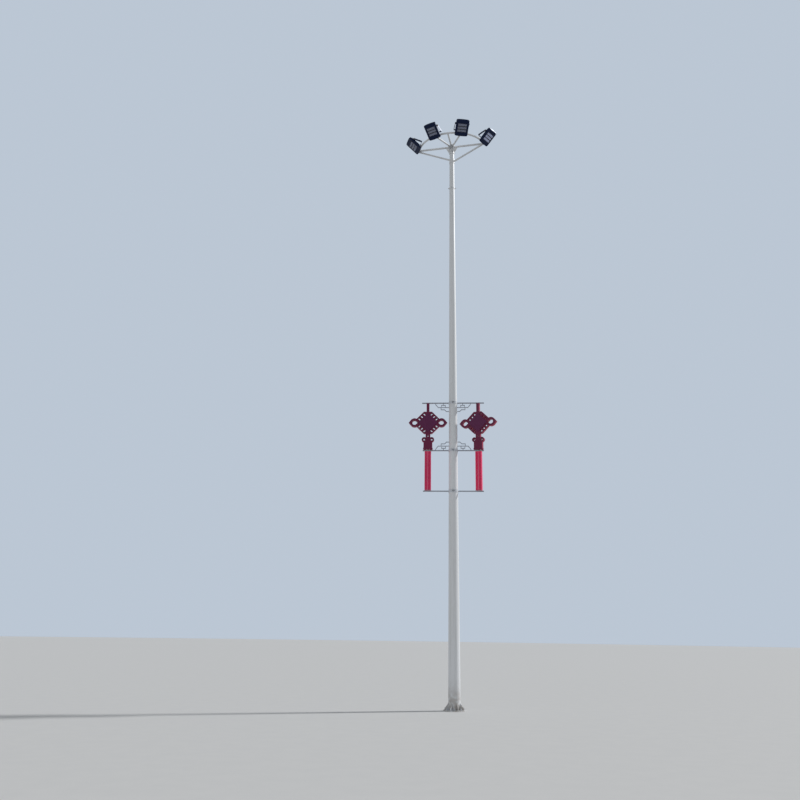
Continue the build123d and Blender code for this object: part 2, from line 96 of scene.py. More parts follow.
# %% Lights
def sun(name, azimuth, elevation, strength, softness):
    """A sun lamp; azimuth 0 stands in front of the object and 90 on its right."""
    data = bpy.data.lights.new(name, "SUN")
    data.energy = strength
    data.angle = math.radians(softness)
    lamp = add(name, data)
    a, e = math.radians(azimuth), math.radians(elevation)
    toward = Vector((math.sin(a) * math.cos(e), -math.cos(a) * math.cos(e), math.sin(e)))
    lamp.rotation_euler = toward.to_track_quat("Z", "Y").to_euler()
    print(name, "light: strength", strength, "from", azimuth, "degrees round and", elevation, "up")


sun("key", 110, 33, 2.5, 4)
sun("fill", -38, 30, 0.2, 50)

# %% [markdown]
# ## Backdrop
# Light Path tells the world's shader what kind of ray is asking. A camera ray sees a pale sky grey, and
# so do rays that bounce off gloss, while all others get the plain world light. So the backdrop's colour
# can be chosen without changing the light on the object.

# %% World
BACKDROP = (0.50, 0.57, 0.66, 1)
SKY_LIGHT = (0.90, 0.95, 1, 1)
SKY_STRENGTH = 0.31
world = bpy.data.worlds.new("studio")
bpy.context.scene.world = world
world.use_nodes = True
tree = world.node_tree
tree.nodes.clear()
seen = tree.nodes.new("ShaderNodeBackground")
seen.inputs["Color"].default_value = BACKDROP
ambient = tree.nodes.new("ShaderNodeBackground")
ambient.inputs["Color"].default_value = SKY_LIGHT
ambient.inputs["Strength"].default_value = SKY_STRENGTH
path = tree.nodes.new("ShaderNodeLightPath")
either = tree.nodes.new("ShaderNodeMath")
either.operation = "MAXIMUM"
tree.links.new(path.outputs["Is Camera Ray"], either.inputs[0])
tree.links.new(path.outputs["Is Glossy Ray"], either.inputs[1])
choice = tree.nodes.new("ShaderNodeMixShader")
tree.links.new(either.outputs[0], choice.inputs["Fac"])
tree.links.new(ambient.outputs[0], choice.inputs[1])
tree.links.new(seen.outputs[0], choice.inputs[2])
output = tree.nodes.new("ShaderNodeOutputWorld")
tree.links.new(choice.outputs[0], output.inputs["Surface"])
print("world:", len(tree.nodes), "nodes")

# %% [markdown]
# ## Sockets that can be added and compared
# A weathered finish is mostly arithmetic on noise: more dust where the noise is high, less on the
# underside. Written as single nodes this is hard to read, so a small class wraps a socket and lets us
# add, multiply and compare sockets like numbers. Every sum adds one Math node.

# %% Sockets with operators
class Wire:
    """An output socket that can be used in sums."""

    def __init__(self, finish, socket):
        self.finish = finish
        self.socket = socket

    def math(self, operation, *others):
        sockets = {0: self, **dict(enumerate(others, 1))}
        return self.finish.node("Math", {"operation": operation}, sockets)

    def __add__(self, other):
        return self.math("ADD", other)

    def __sub__(self, other):
        return self.math("SUBTRACT", other)

    def __rsub__(self, other):
        return self.finish.node("Math", {"operation": "SUBTRACT"}, {0: other, 1: self})

    def __mul__(self, other):
        return self.math("MULTIPLY", other)

    def __truediv__(self, other):
        return self.math("DIVIDE", other)

    def __gt__(self, other):
        return self.math("GREATER_THAN", other)

    def __lt__(self, other):
        return self.math("LESS_THAN", other)

    __radd__ = __add__
    __rmul__ = __mul__

    def ramp(self, low, high):
        """0 below low, 1 above high, and smooth between them."""
        settings = {"interpolation_type": "SMOOTHSTEP", "clamp": True}
        return self.finish.node("MapRange", settings, {"Value": self, "From Min": low, "From Max": high})


# %% [markdown]
# ## One class for a finish
# A finish is one material. Its method `node` makes any node from a type, settings and socket values,
# `layers` lays colours over one another, each by its mask, and `paint` joins the results to the shader.
# Patterns read Object coordinates, in metres. What is the same all over is set on the shader itself.

# %% Finish
class Finish:
    """One material, with its principled shader and the nodes that feed it."""

    def __init__(self, name, color, rough, **constants):
        self.material = bpy.data.materials.new(name)
        self.material.use_nodes = True
        self.tree = self.material.node_tree
        self.shader = self.tree.nodes["Principled BSDF"]
        self.shader.inputs["Base Color"].default_value = (*color, 1)
        self.shader.inputs["Roughness"].default_value = rough
        for label, value in constants.items():
            self.shader.inputs[label.replace("_", " ")].default_value = value
        self.place = self.node("TexCoord", {}, {}, "Object")
        self.facing = self.node("TexCoord", {}, {}, "Normal")

    def node(self, kind, settings, sockets, out=0):
        made = self.tree.nodes.new("ShaderNode" + kind)
        for label, value in settings.items():
            setattr(made, label, value)
        for label, value in sockets.items():
            if isinstance(value, Wire):
                self.tree.links.new(value.socket, made.inputs[label])
            else:
                made.inputs[label].default_value = value
        return Wire(self, made.outputs[out])

    def noise(self, scale, detail=4, stretch=(1, 1, 1), rough=0.55):
        where = self.node("Mapping", {}, {"Vector": self.place, "Scale": stretch})
        sockets = {"Vector": where, "Scale": scale, "Detail": detail, "Roughness": rough}
        return self.node("TexNoise", {}, sockets)

    def axis(self, wire, letter):
        return self.node("SeparateXYZ", {}, {0: wire}, letter)

    def mix(self, mask, first, second):
        """first where mask is 0, second where it is 1; both are colours."""
        colors = [c if isinstance(c, Wire) else (*c, 1) for c in (first, second)]
        return self.node("Mix", {"data_type": "RGBA"}, {0: mask, 6: colors[0], 7: colors[1]}, 2)

    def layers(self, tint, *coats):
        """Colours laid over a first one, each where its own mask is 1."""
        for mask, color in coats:
            tint = self.mix(mask, tint, color)
        return tint

    def paint(self, color, rough=None, height=None, depth=0.0005, metal=None):
        """Join what was worked out to the shader; height is a bump, in units of depth metres."""
        self.tree.links.new(color.socket, self.shader.inputs["Base Color"])
        if rough is not None:
            self.tree.links.new(rough.socket, self.shader.inputs["Roughness"])
        if metal is not None:
            self.tree.links.new(metal.socket, self.shader.inputs["Metallic"])
        if height is not None:
            bump = self.node("Bump", {}, {"Strength": 1, "Distance": depth, "Height": height})
            self.tree.links.new(bump.socket, self.shader.inputs["Normal"])
        print(self.material.name, "-", len(self.tree.nodes), "nodes")
        return self.material


def toned(color, factor, lift=0.0):
    """A lighter or darker tone of a colour."""
    return tuple(min(1, c * factor + lift) for c in color)


# %% [markdown]
# ## Floor
# The floor is a plain pale disc, so large that its edge lies near the horizon. It lies just below the
# flange's underside, so that the two faces don't flicker where they meet.

# %% Floor
FLOOR_R = 160
FLOOR_DROP = 0.0015
FLOOR_PALE = (0.66, 0.655, 0.645)
FLOOR_WORN = (0.60, 0.60, 0.595)
bpy.ops.object.select_all(action="DESELECT")
bpy.ops.mesh.primitive_circle_add(
    vertices=96, radius=FLOOR_R, fill_type="NGON", location=(0, 0, -FLOOR_DROP))
floor = bpy.context.object
floor.name = "floor"
ground = Finish("studio_floor", FLOOR_PALE, 0.85)
speckle = ground.noise(3, 6).ramp(0.3, 0.7)
floor.data.materials.append(ground.paint(ground.mix(speckle * 0.25, FLOOR_PALE, FLOOR_WORN)))

# %% [markdown]
# ## White paint that has stood outdoors
# The mast is a rolled steel tube with a sprayed white topcoat. Such paint is never one white: rain draws
# faint grey streaks down it, clouds of dust lie over it, and splashed mud sits near the ground. One flat
# weld runs up the tube's whole length, turned to the back. A noise stretched along Z gives
# streaks, because it changes slowly upward and quickly around the tube. The orange peel of a sprayed coat
# is a fine noise that only reaches the bump.

# %% Finish: mast paint
SEAM_TURN = math.radians(55)
STREAK_GREY = (0.60, 0.61, 0.60)
MUD = (0.30, 0.25, 0.20)
CHIP_RUST = (0.20, 0.085, 0.04)


def streaked_white(name, color, rough, soil_top):
    """Sprayed white with rain streaks; soil_top is the height up to which splashed mud reaches."""
    white = Finish(name, color, rough, Coat_Weight=0.12, Coat_Roughness=0.3)
    height = white.axis(white.place, "Z")
    clouds = white.noise(0.7, 5, (1, 1, 0.4)).ramp(0.35, 0.7)
    streaks = white.noise(17, 4, (1, 1, 0.035), 0.65).ramp(0.48, 0.74)
    grime = clouds * 0.3 + streaks * 0.42
    soil = (1 - height.ramp(0.02, soil_top)) * white.noise(9, 6).ramp(0.3, 0.62)
    chips = (white.noise(75, 3) > 0.735) * (1 - height.ramp(0.1, soil_top * 1.6))
    peel = white.noise(420, 2)
    east, north = white.axis(white.place, "X"), white.axis(white.place, "Y")
    off_seam = (east * math.cos(SEAM_TURN) + north * math.sin(SEAM_TURN)).math("ABSOLUTE")
    behind = (north * math.cos(SEAM_TURN) - east * math.sin(SEAM_TURN)) > 0.02
    seam = (1 - off_seam.ramp(0.0008, 0.0035)) * behind
    tint = white.layers(color, (grime, STREAK_GREY), (soil * 0.6, MUD), (chips, CHIP_RUST))
    gloss = grime * 0.25 + soil * 0.3 + chips * 0.2 + rough
    relief = peel * 0.5 - chips * 0.9 + soil * 0.3 + seam * 2.5
    return white.paint(tint, gloss, relief, 0.0004)


mast_paint = streaked_white("mast_paint", (0.80, 0.815, 0.84), 0.42, 0.75)

# %% [markdown]
# ## The head's paint
# The tubes of the head were painted after welding. Their undersides never see rain, so dust and soot stay
# there, and they are darkened further as painted shade; rust starts in patches. The object's own normal
# tells which way a point faces, and it turns with a tilted floodlight, so the dust and the painted shade
# stay in their place. Brackets and bands get the same finish in other greys.

# %% Finish: head paint
SOOT_AND_SHADE = (0.40, 0.42, 0.45)
TUBE_RUST = (0.30, 0.15, 0.08)


def tube_white(name, color, rough):
    white = Finish(name, color, rough, Coat_Weight=0.15, Coat_Roughness=0.3)
    up_side = white.axis(white.facing, "Z")
    # under: undersides are darker for soot, and also as painted shade
    under = 1 - up_side.ramp(-0.75, -0.05)
    clouds = white.noise(4.5, 5).ramp(0.4, 0.7)
    fine = white.noise(60, 5)
    rust = (white.noise(11, 5, rough=0.7).ramp(0.66, 0.78)) * fine.ramp(0.35, 0.6)
    tint = white.layers(color, (clouds * 0.25 + under * 0.5, SOOT_AND_SHADE), (rust * 0.55, TUBE_RUST))
    gloss = clouds * 0.2 + under * 0.15 + rust * 0.25 + rough
    return white.paint(tint, gloss, fine * 0.6 + rust * 0.5, 0.0005)


head_paint = tube_white("head_paint", (0.80, 0.81, 0.82), 0.36)
# The brackets' dark bluish grey is partly their paint and partly a painted shade.
bracket_paint = tube_white("bracket_paint", (0.33, 0.36, 0.42), 0.42)
band_paint = tube_white("band_paint", (0.66, 0.69, 0.74), 0.38)

# %% [markdown]
# ## Black powder coat
# The floodlights and their yokes are powder coated: the powder melts into a satin skin with a fine, even
# grain. Dust settles on whatever faces the sky. The specular level is lowered, because at its default a
# black surface picks up so much of the backdrop that it looks grey. The blacks are tinted navy and the
# specular tint is blue, a painted reflection of a blue sky.

# %% Finish: powder coat
ROAD_DUST = (0.23, 0.225, 0.22)
SCUFF = (0.10, 0.105, 0.12)


def powder(name, color, rough, dusty):
    # The blue specular tint is a painted reflection of a blue sky.
    coat = Finish(name, color, rough, Specular_IOR_Level=0.26, Specular_Tint=(0.5, 0.66, 1, 1))
    up_side = coat.axis(coat.facing, "Z").ramp(0.25, 0.95)
    patches = coat.noise(13, 6, rough=0.65).ramp(0.35, 0.7)
    grain = coat.noise(900, 2)
    dust = up_side * (patches * 0.6 + 0.4) * dusty
    scuffs = coat.noise(38, 4, (1, 1, 2.2)).ramp(0.68, 0.76) * 0.2
    tint = coat.layers(color, (dust, ROAD_DUST), (scuffs, SCUFF))
    gloss = dust * 0.35 + patches * 0.08 + rough
    return coat.paint(tint, gloss, grain * 0.7 + patches * 0.2, 0.00025)


# These blacks are tinted navy, a painted reflection of a blue sky.
housing_black = powder("housing_black", (0.003, 0.007, 0.033), 0.30, 0.3)
driver_black = powder("driver_black", (0.005, 0.007, 0.022), 0.30, 0.3)
yoke_black = powder("yoke_black", (0.004, 0.007, 0.028), 0.33, 0.25)

# %% [markdown]
# ## Where the ornaments hang
# The two ornaments hang from bars at the mast's sides, and the right one is turned on its own axis. Their
# finishes follow their shape, so a point is first brought back into an ornament's own frame. A Mapping
# node of type Texture does that: it undoes a place and a turn. Each bar lies at the height of the band
# that carries it.

# %% Ornament frames
SIDES = {"left": -1, "right": 1}
ORNAMENT_X = 0.6
ORNAMENT_TURN = {-1: 0, 1: math.radians(-20)}
KNOT_Z = 6.452
BAR_Z = {"upper_band": 6.942, "middle_band": 5.774, "lower_band": 4.804}
print("knots hang", KNOT_Z, "m up, between bars at", list(BAR_Z.values()))


def own_frame(finish, side, z=0):
    """Brings a point back to an ornament that hangs at the mast's side and is turned on its own axis."""
    place = (side * ORNAMENT_X, 0, z)
    sockets = {"Vector": finish.place, "Location": place, "Rotation": (0, 0, ORNAMENT_TURN[side])}
    return finish.node("Mapping", {"vector_type": "TEXTURE"}, sockets)


# %% [markdown]
# ## Red plastic of the knots
# The knots are hollow shells of dyed plastic, made to glow from inside at night. The face and the raised
# pad are a dark maroon that is partly painted shade, with fine dust that dulls their gloss. The side walls
# get a much brighter red, a painted sunlight, and the shader tells these parts apart by their depth. The
# two halves meet in a seam at depth 0. The pad's weave is modelled further on, so the shader only adds
# the fine twist of its threads.

# %% Finish: knot
# Face and pad: dark maroon, partly painted shade; walls: bright red, a painted sunlight.
KNOT_FACE_SHADED = (0.145, 0.006, 0.046)
KNOT_PAD_SHADED = (0.112, 0.009, 0.064)
KNOT_WALL_SUNLIT = (0.40, 0.010, 0.055)
KNOT_DUST = (0.20, 0.12, 0.15)
TWIST = 2600


def woven(name, side, rough):
    red = Finish(name, KNOT_FACE_SHADED, rough, Specular_IOR_Level=0.3)
    own = own_frame(red, side, KNOT_Z)
    x, z = red.axis(own, "X"), red.axis(own, "Z")
    depth = red.axis(own, "Y").math("ABSOLUTE")
    on_pad = depth.ramp(0.0455, 0.052)
    on_face = depth.ramp(0.0415, 0.0445)
    twist = ((x + z * 0.6) * TWIST).math("SINE") * 0.5 + 0.5
    off_seam = depth.ramp(0.0005, 0.0022)
    fade = red.noise(3.2, 5).ramp(0.35, 0.75)
    dust = red.noise(24, 6, (1, 1, 0.35)).ramp(0.5, 0.8)
    tint = red.mix(fade * 0.35, KNOT_FACE_SHADED, toned(KNOT_FACE_SHADED, 1.3, 0.006))
    # The side walls get the bright red of painted sunlight, the faces the maroon of painted shade.
    tint = red.mix(on_face, red.mix(fade * 0.3, KNOT_WALL_SUNLIT, KNOT_FACE_SHADED), tint)
    tint = red.mix(on_pad, tint, red.mix(fade * 0.4, KNOT_PAD_SHADED, toned(KNOT_PAD_SHADED, 1.4)))
    tint = red.layers(tint, (dust * 0.15, KNOT_DUST), ((1 - off_seam) * 0.5, toned(KNOT_FACE_SHADED, 0.4)))
    gloss = dust * 0.3 + fade * 0.08 + rough
    return red.paint(tint, gloss, twist * on_pad * 0.35 + off_seam * 0.6 + dust * 0.1, 0.0007)


knot_red = {side: woven("knot_red_" + name, side, 0.36) for name, side in SIDES.items()}

# %% [markdown]
# ## Red plastic of the tassels
# A tassel is a fluted tube of red plastic, much lighter than the knots, and its bright red is a painted
# glow of sun through the plastic. Fine lines along it stand for threads, and one pale line down its middle
# is a painted highlight. Dust gathers at the lower end, above the bar. The right tassel's red is stronger
# than the left one's, a painted sunlight.

# %% Finish: tassel
# Bright reds are a painted glow of sun through the plastic; the right one is brighter, a painted sunlight.
TASSEL_RED_LIT = {-1: (0.76, 0.026, 0.13), 1: (0.90, 0.026, 0.13)}
TASSEL_HIGHLIGHT = (0.90, 0.36, 0.50)
TASSEL_DUST = (0.40, 0.14, 0.17)
THREADS = 1900


def fluted(name, side, rough):
    color = TASSEL_RED_LIT[side]
    red = Finish(name, color, rough, Coat_Weight=0.15, Coat_Roughness=0.22)
    own = own_frame(red, side)
    x, z = red.axis(own, "X"), red.axis(own, "Z")
    threads = (x * THREADS).math("SINE")
    fade = red.noise(5, 5, (1, 1, 0.25)).ramp(0.35, 0.75)
    # line: a pale stripe down the middle, a painted highlight
    line = 1 - (x.math("ABSOLUTE")).ramp(0.002, 0.0065)
    low_end = 1 - z.ramp(BAR_Z["lower_band"] + 0.016, BAR_Z["lower_band"] + 0.146)
    dust = red.noise(30, 5, (1, 1, 0.2)).ramp(0.5, 0.8) * 0.2 + low_end * 0.15
    sunned = toned(color, 1.35, 0.012)
    tint = red.layers(color, (fade * 0.4, sunned), (line * 0.75, TASSEL_HIGHLIGHT), (dust * 0.7, TASSEL_DUST))
    return red.paint(tint, dust * 0.5 + rough, threads * 0.5 + dust, 0.0006)


tassel_red = {side: fluted("tassel_red_" + name, side, 0.34) for name, side in SIDES.items()}

# %% [markdown]
# ## Lamp frames
# Each floodlight hangs on a hinge of the frame, whose axis tells how the lamp is turned about Z, and at
# rest it looks fifty degrees down. From both we make the lamp's own frame: the beam looks along -Y and Z
# runs up the window. Everything on a lamp is modelled once in that frame and then sent to all four.

# %% Lamp frames
LAMP_DOWN = math.radians(50)
lamps = {}
for joint in frame["joints"]:
    axis = Vector(joint["axis"])
    turn = math.atan2(axis.y, axis.x)
    place = Matrix.Translation(joint["pos_m"]) @ Matrix.Rotation(turn, 4, "Z")
    lamps[joint["child"]] = {"pivot": place, "lamp": place @ Matrix.Rotation(LAMP_DOWN, 4, "X")}
    spot = tuple(round(v, 3) for v in joint["pos_m"])
    print(joint["child"], "turned", round(math.degrees(turn), 1), "degrees at", spot)

# %% [markdown]
# ## Circuit boards behind the lenses
# A floodlight's window holds three boards. From the ground they are pale bars with dark joints. They are
# cut out by the height in the lamp's own frame: its fraction, counted in rows, tells how far a point is
# from the middle of its row. Each window mirrors its own part of the sky, so each lamp has its own
# brightness, one for the boards and one for the lenses.

# %% Finish: boards
WINDOW_MIDDLE = -0.089
WINDOW_FLOOR = -0.0635
ROW_PITCH = 0.074
ROW_HEIGHT = 0.058
ROW_SHIFT = 10.5
BOARD_WHITE = (0.47, 0.475, 0.53)
BOARD_DARK = (0.006, 0.009, 0.022)
TRACK_GREY = (0.16, 0.17, 0.18)
SHINE = {"lamp_1": (0.42, 0.54), "lamp_2": (0.36, 0.48), "lamp_3": (0.36, 0.43), "lamp_4": (0.85, 1.2)}


def board(body):
    spot = lamps[body]["lamp"]
    white = Finish(body + "_board", (0.3, 0.31, 0.35), 0.35)
    turned = {"Vector": white.place, "Location": spot.to_translation(), "Rotation": spot.to_euler()}
    own = white.node("Mapping", {"vector_type": "TEXTURE"}, turned)
    up_row = white.axis(own, "Z") - WINDOW_MIDDLE
    across = white.axis(own, "X")
    deep = white.axis(own, "Y")
    row = (up_row / ROW_PITCH + ROW_SHIFT).math("FRACT") - 0.5
    off_row = row.math("ABSOLUTE") * ROW_PITCH
    strip = 1 - off_row.ramp(ROW_HEIGHT / 2 - 0.001, ROW_HEIGHT / 2 + 0.0005)
    strip = strip * (deep < WINDOW_FLOOR)
    tracks = ((across * 280).math("SINE") > 0.93) * 0.5
    tone = white.noise(40, 3).ramp(0.3, 0.7) * 0.25
    pale = toned(BOARD_WHITE, SHINE[body][0])
    tint = white.layers(pale, (tone, toned(pale, 0.7)), (tracks, TRACK_GREY))
    tint = white.mix(strip * 0.25, BOARD_DARK, tint)
    return white.paint(tint, tone * 0.4 + 0.3, tracks, 0.0003)


# %% [markdown]
# ## Dressing the CAD nodes
# Every sub-part of the record names a material slot, and most slots have one finish. The boards differ
# from lamp to lamp, the ornaments from side to side, and the three clamp bands are paler than the
# brackets that they carry.

# %% Dress the CAD nodes
dress = {
    "mast_paint": mast_paint,
    "head_paint": head_paint,
    "bracket_paint": bracket_paint,
    "housing_black": housing_black,
    "driver_black": driver_black,
    "yoke_black": yoke_black,
}
for body in lamps:
    dress[body + "_led_panel"] = board(body)
for name, side in SIDES.items():
    dress["knot_" + name] = knot_red[side]
    dress["tassel_" + name] = tassel_red[side]
for band in BAR_Z:
    dress[band] = band_paint
for sub in frame["record"]["subparts"]:
    node = nodes[sub["node"]]
    finish = dress.get(sub["node"]) or dress[sub["material_slot"]]
    node.data.materials.clear()
    node.data.materials.append(finish)
print("dressed", len(nodes), "CAD nodes")

# %% [markdown]
# ## How the hardware is made
# Bolts, nuts, screws and beads mostly repeat. Each is modelled once at the origin, standing along Z, and
# then copied to its places. The first helpers deselect everything, because an operator works on whatever
# is selected, and then choose faces by a test.

# %% Helpers for selecting and shaping
def fresh(*chosen):
    """Deselect everything, then select only the given objects."""
    if bpy.context.mode != "OBJECT":
        bpy.ops.object.mode_set(mode="OBJECT")
    bpy.ops.object.select_all(action="DESELECT")
    for thing in chosen:
        thing.select_set(True)
        bpy.context.view_layer.objects.active = thing


def pick(thing, test):
    """Open the object in edit mode with only the faces selected that pass a test."""
    fresh(thing)
    bpy.ops.object.mode_set(mode="EDIT")
    bpy.ops.mesh.select_mode(type="FACE")
    bpy.ops.mesh.select_all(action="DESELECT")
    shape = bmesh.from_edit_mesh(thing.data)
    shape.faces.ensure_lookup_table()
    for face in shape.faces:
        if test(face):
            face.select_set(True)
    bmesh.update_edit_mesh(thing.data)


def top_face(face):
    return face.normal.z > 0.9


def inset(border, lift):
    """Inset what is selected and lift the inner part."""
    bpy.ops.mesh.inset(thickness=border)
    bpy.ops.transform.translate(value=(0, 0, lift))


def extrude(height):
    bpy.ops.mesh.extrude_region_move(TRANSFORM_OT_translate={"value": (0, 0, height)})


def cylinder(sides, radius, low, high):
    """A cylinder on the Z axis between two heights."""
    fresh()
    bpy.ops.mesh.primitive_cylinder_add(
        vertices=sides, radius=radius, depth=high - low, location=(0, 0, (low + high) / 2))
    return bpy.context.object


def rounded(thing, width, segments=2, angle=35):
    """Bevel the edges that are sharper than an angle and smooth the rest."""
    fresh(thing)
    soft = thing.modifiers.new("edges", "BEVEL")
    soft.width = width
    soft.segments = segments
    soft.angle_limit = math.radians(angle)
    bpy.ops.object.modifier_apply(modifier="edges")
    bpy.ops.object.shade_smooth_by_angle(angle=math.radians(angle))
    return thing


# %% [markdown]
# ## Placing and copying
# A copy gets a mesh of its own and its place is written into that mesh, so every finished piece stays at
# the origin, like the CAD nodes. A piece rides on a body, which carries it when a lamp is tilted, and
# gets its finish. A master is dropped once its copies are made.

# %% Helpers for placing
def placed(thing):
    """Write an object's place into its mesh, so that its own origin is the world's again."""
    fresh(thing)
    bpy.ops.object.transform_apply(location=True, rotation=True, scale=True)
    return thing


def joined(name, parts):
    if len(parts) > 1:
        fresh(*parts)
        bpy.ops.object.join()
        parts = [bpy.context.object]
    parts[0].name = name
    return placed(parts[0])


def settle(piece, name, finish, body):
    """A finished piece: its place goes into its mesh, and it rides on a body."""
    placed(piece)
    piece.name = name
    piece.data.name = name
    piece.data.materials.clear()
    piece.data.materials.append(finish)
    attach(piece, body)
    print(name, "-", len(piece.data.polygons), "faces")


def copy_at(master, place):
    """A copy of a master with its own mesh, at a place."""
    one = add(master.name, master.data.copy())
    one.data.transform(place)
    return one


def copies(master, name, places, finish, body):
    """Copy a master to each place and join the copies into one piece."""
    made = [copy_at(master, place) for place in places]
    settle(joined(name, made), name, finish, body)


def drop(*masters):
    for master in masters:
        bpy.data.objects.remove(master)


def aim(x, y, z, way):
    """Stand a Z-axis master at a point, so that it points in a direction."""
    return Matrix.Translation((x, y, z)) @ Vector(way).to_track_quat("Z", "Y").to_matrix().to_4x4()


def sideways(x, y, z, side=1):
    """Lay a Z-axis master along X, so that its nut has a flat on top."""
    return Matrix.Translation((x, y, z)) @ Matrix.Rotation(side * math.radians(90), 4, "Y")


# %% [markdown]
# ## Zinc and bare steel
# Bolts and nuts are either zinc plated, with the flaky pattern of the plating, or plain dark steel. Rust
# takes away the metal's mirror, so it lowers Metallic as well as the colour, and it raises the roughness.

# %% Finish: zinc and steel
PLATING = 0.85
BOLT_RUST = (0.16, 0.07, 0.035)


def plated(name, color, rough, rust_amount):
    steel = Finish(name, color, rough, Metallic=PLATING)
    flakes = steel.noise(160, 2).ramp(0.35, 0.65)
    rust = (steel.noise(45, 5, rough=0.7).ramp(0.45, 0.7)) * rust_amount
    tint = steel.layers(color, (flakes * 0.35, toned(color, 0.6)), (rust, BOLT_RUST))
    gloss = flakes * 0.15 + rust * 0.4 + rough
    return steel.paint(tint, gloss, flakes * 0.4 + rust, 0.0004, PLATING - rust * 0.8)


zinc = plated("zinc", (0.50, 0.51, 0.52), 0.38, 0.25)
dark_steel = plated("dark_steel", (0.16, 0.16, 0.165), 0.5, 0.6)

# %% [markdown]
# ## Bolts and nuts
# A hexagon nut starts as a six-sided cylinder. Real nuts have their corners turned off at the top, so the
# top face is inset and lifted, which leaves six small slopes. A washer below spreads the load, and the
# end of the stud stands out above. A fitter sees all three as one bolted joint, so they are joined.

# %% Fastener master
def fastener(across, height, washer, stud):
    """Washer, nut and stud end along Z, with the washer's lower face at the origin; sizes in metres."""
    plate = rounded(cylinder(28, across * 0.98, 0, washer), washer * 0.25)
    corner = across / math.sqrt(3)
    nut = cylinder(6, corner, washer, washer + height)
    pick(nut, top_face)
    inset(corner * 0.14, height * 0.12)
    rounded(nut, across * 0.02)
    thread = cylinder(16, across * 0.31, 0, washer + height + stud)
    pick(thread, top_face)
    inset(across * 0.05, across * 0.06)
    rounded(thread, across * 0.012)
    return joined("fastener", [plate, nut, thread])


# %% [markdown]
# ## Anchor bolts
# Eight studs cast into the foundation hold the foot flange, on a bolt circle of 400 mm. Each carries a
# large washer and a nut, and ends above it so that the nut can be locked.

# %% Anchor bolts
FLANGE_TOP = 0.022
BOLT_CIRCLE = 0.200
ANCHORS = 8
anchor = fastener(0.036, 0.019, 0.004, 0.026)
to_hole = Matrix.Translation((BOLT_CIRCLE, 0, FLANGE_TOP))
around = [Matrix.Rotation(math.tau * i / ANCHORS, 4, "Z") @ to_hole for i in range(ANCHORS)]
copies(anchor, "anchor_nuts", around, zinc, "mast")
drop(anchor)

# %% [markdown]
# ## Weld beads
# Where two parts meet, a welder lays down a bead that looks like a row of small overlapping coins. A
# curve with a round bevel follows the joint, and its radius swells and shrinks from point to point, which
# gives the ripples. At the end it is converted to a mesh.

# %% Bead along a path
RIPPLE = (1.0, 1.16, 1.05, 0.86)
BEAD_STEP = 0.003


def bead(name, points, thick, closed=True):
    fresh()
    curve = bpy.data.curves.new(name, "CURVE")
    curve.dimensions = "3D"
    curve.bevel_depth = thick
    curve.bevel_resolution = 1
    curve.use_fill_caps = not closed
    line = curve.splines.new("POLY")
    line.points.add(len(points) - 1)
    for i, (point, spot) in enumerate(zip(line.points, points)):
        point.co = (*spot, 1)
        point.radius = RIPPLE[i % len(RIPPLE)]
    line.use_cyclic_u = closed
    fresh(add(name, curve))
    bpy.ops.object.convert(target="MESH")
    bpy.ops.object.shade_smooth()
    return bpy.context.object


# %% [markdown]
# ## Paths of the welds
# Two tubes meet in a saddle curve, which has no simple formula. We find it point by point: along each
# line on the first tube's wall we halve the distance again and again, until we stand on the second
# surface.

# %% Paths of the welds
HALVINGS = 30


def stepped(corners):
    """Points every few millimetres along straight runs."""
    points = []
    for first, last in zip(corners[:-1], corners[1:]):
        first, last = Vector(first), Vector(last)
        count = max(2, round((last - first).length / BEAD_STEP))
        points += [first.lerp(last, i / count) for i in range(count)]
    return points + [Vector(corners[-1])]


def turns(radius):
    """Angles round a circle, about a bead's step apart, so many that the ripples come out even."""
    count = len(RIPPLE) * round(math.tau * radius / BEAD_STEP / len(RIPPLE))
    return [math.tau * i / count for i in range(count)]


def circle(radius, height):
    return [Vector((radius * math.cos(a), radius * math.sin(a), height)) for a in turns(radius)]


def saddle(origin, way, radius, surface, reach):
    """Where a tube's wall meets a surface; surface(point) is below zero inside it."""
    way = way.normalized()
    side = way.cross(Vector((0, 0, 1))).normalized()
    over = side.cross(way)
    points = []
    for a in turns(radius):
        start = origin + side * radius * math.cos(a) + over * radius * math.sin(a)
        near, far = 0, reach
        for _ in range(HALVINGS):
            middle = (near + far) / 2
            if surface(start + way * middle) < 0:
                near = middle
            else:
                far = middle
        points.append(start + way * near)
    return points


# %% [markdown]
# ## Welds of the foot
# One bead runs round the mast where it stands on its flange, and each of the eight ribs has a bead on
# both sides, along the flange and up the mast. The mast's own paint covers them, so they show only
# through light and shade.

# %% Foot welds
MAST_BASE_R = 0.13575
MAST_SLOPE = 0.01095 / 2
RIB_TOP = 0.152
RIB_TOE = 0.226
RIB_SIDE = 0.007
FOOT_BEAD = 0.0045
RIB_BEAD = 0.003


def mast_r(z):
    return MAST_BASE_R - MAST_SLOPE * z


foot_r = mast_r(FLANGE_TOP)
beads = [bead("bead", circle(foot_r + 0.001, FLANGE_TOP + 0.001), FOOT_BEAD)]
for i in range(ANCHORS):
    turn = Matrix.Rotation(math.tau * (i + 0.5) / ANCHORS, 4, "Z")
    for side in (-RIB_SIDE, RIB_SIDE):
        corner = (foot_r + RIB_BEAD, side, FLANGE_TOP)
        run = stepped([(RIB_TOE, side, FLANGE_TOP), corner, (mast_r(RIB_TOP), side, RIB_TOP)])
        beads.append(bead("bead", [turn @ point for point in run], RIB_BEAD, closed=False))
settle(joined("foot_welds", beads), "foot_welds", mast_paint, "mast")

# %% [markdown]
# ## Surfaces of the head
# The head frame is a sleeve with five arms, a bent ring in front, and two braces down to a band on the
# mast. For the saddle curves each surface is a function that is zero on it and negative inside, written
# in the head's own frame, where the side arms lie along X.

